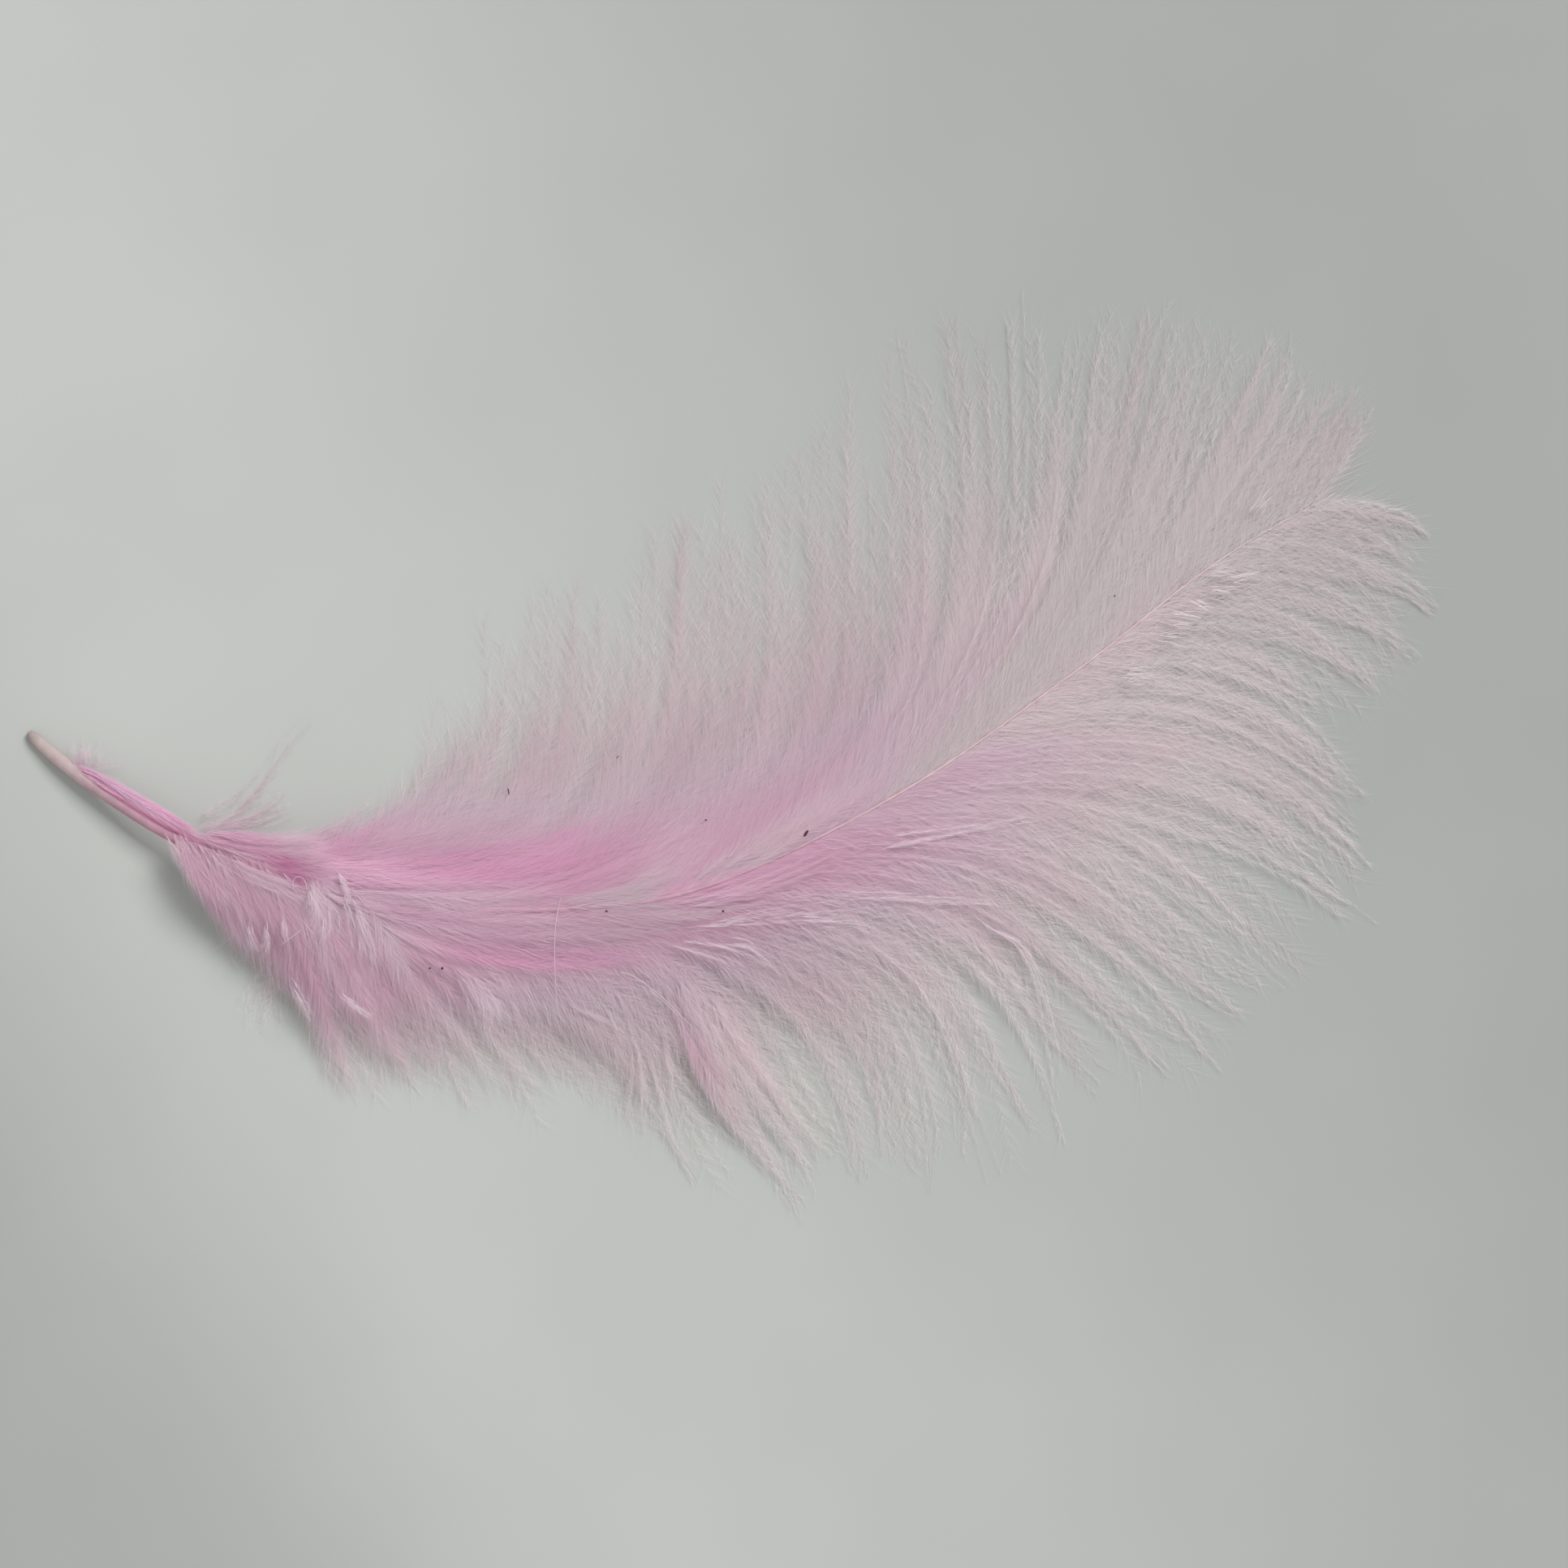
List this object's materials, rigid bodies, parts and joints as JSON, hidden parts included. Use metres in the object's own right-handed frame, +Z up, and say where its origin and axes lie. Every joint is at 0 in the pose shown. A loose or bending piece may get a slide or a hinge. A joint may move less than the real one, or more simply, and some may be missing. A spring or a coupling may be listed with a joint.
{
  "type": "feather",
  "caption": "Loose dyed marabou feather, lying flat: a curved shaft with a bare blunt quill and soft downy locks fanning out on both sides.",
  "frame": {"origin": "centre of the plan outline, on the surface the feather lies on", "axes": "+X along the feather's length from the quill to the thin end, +Y towards the side of the long upper vane, +Z up from the surface"},
  "size_m": [0.1394, 0.0912, 0.0062],
  "materials": {
    "pink_down": "soft matte down",
    "quill_horn": "smooth dull horn"
  },
  "bodies": {
    "root": {"feather": "pink_down"}
  },
  "joints": []
}
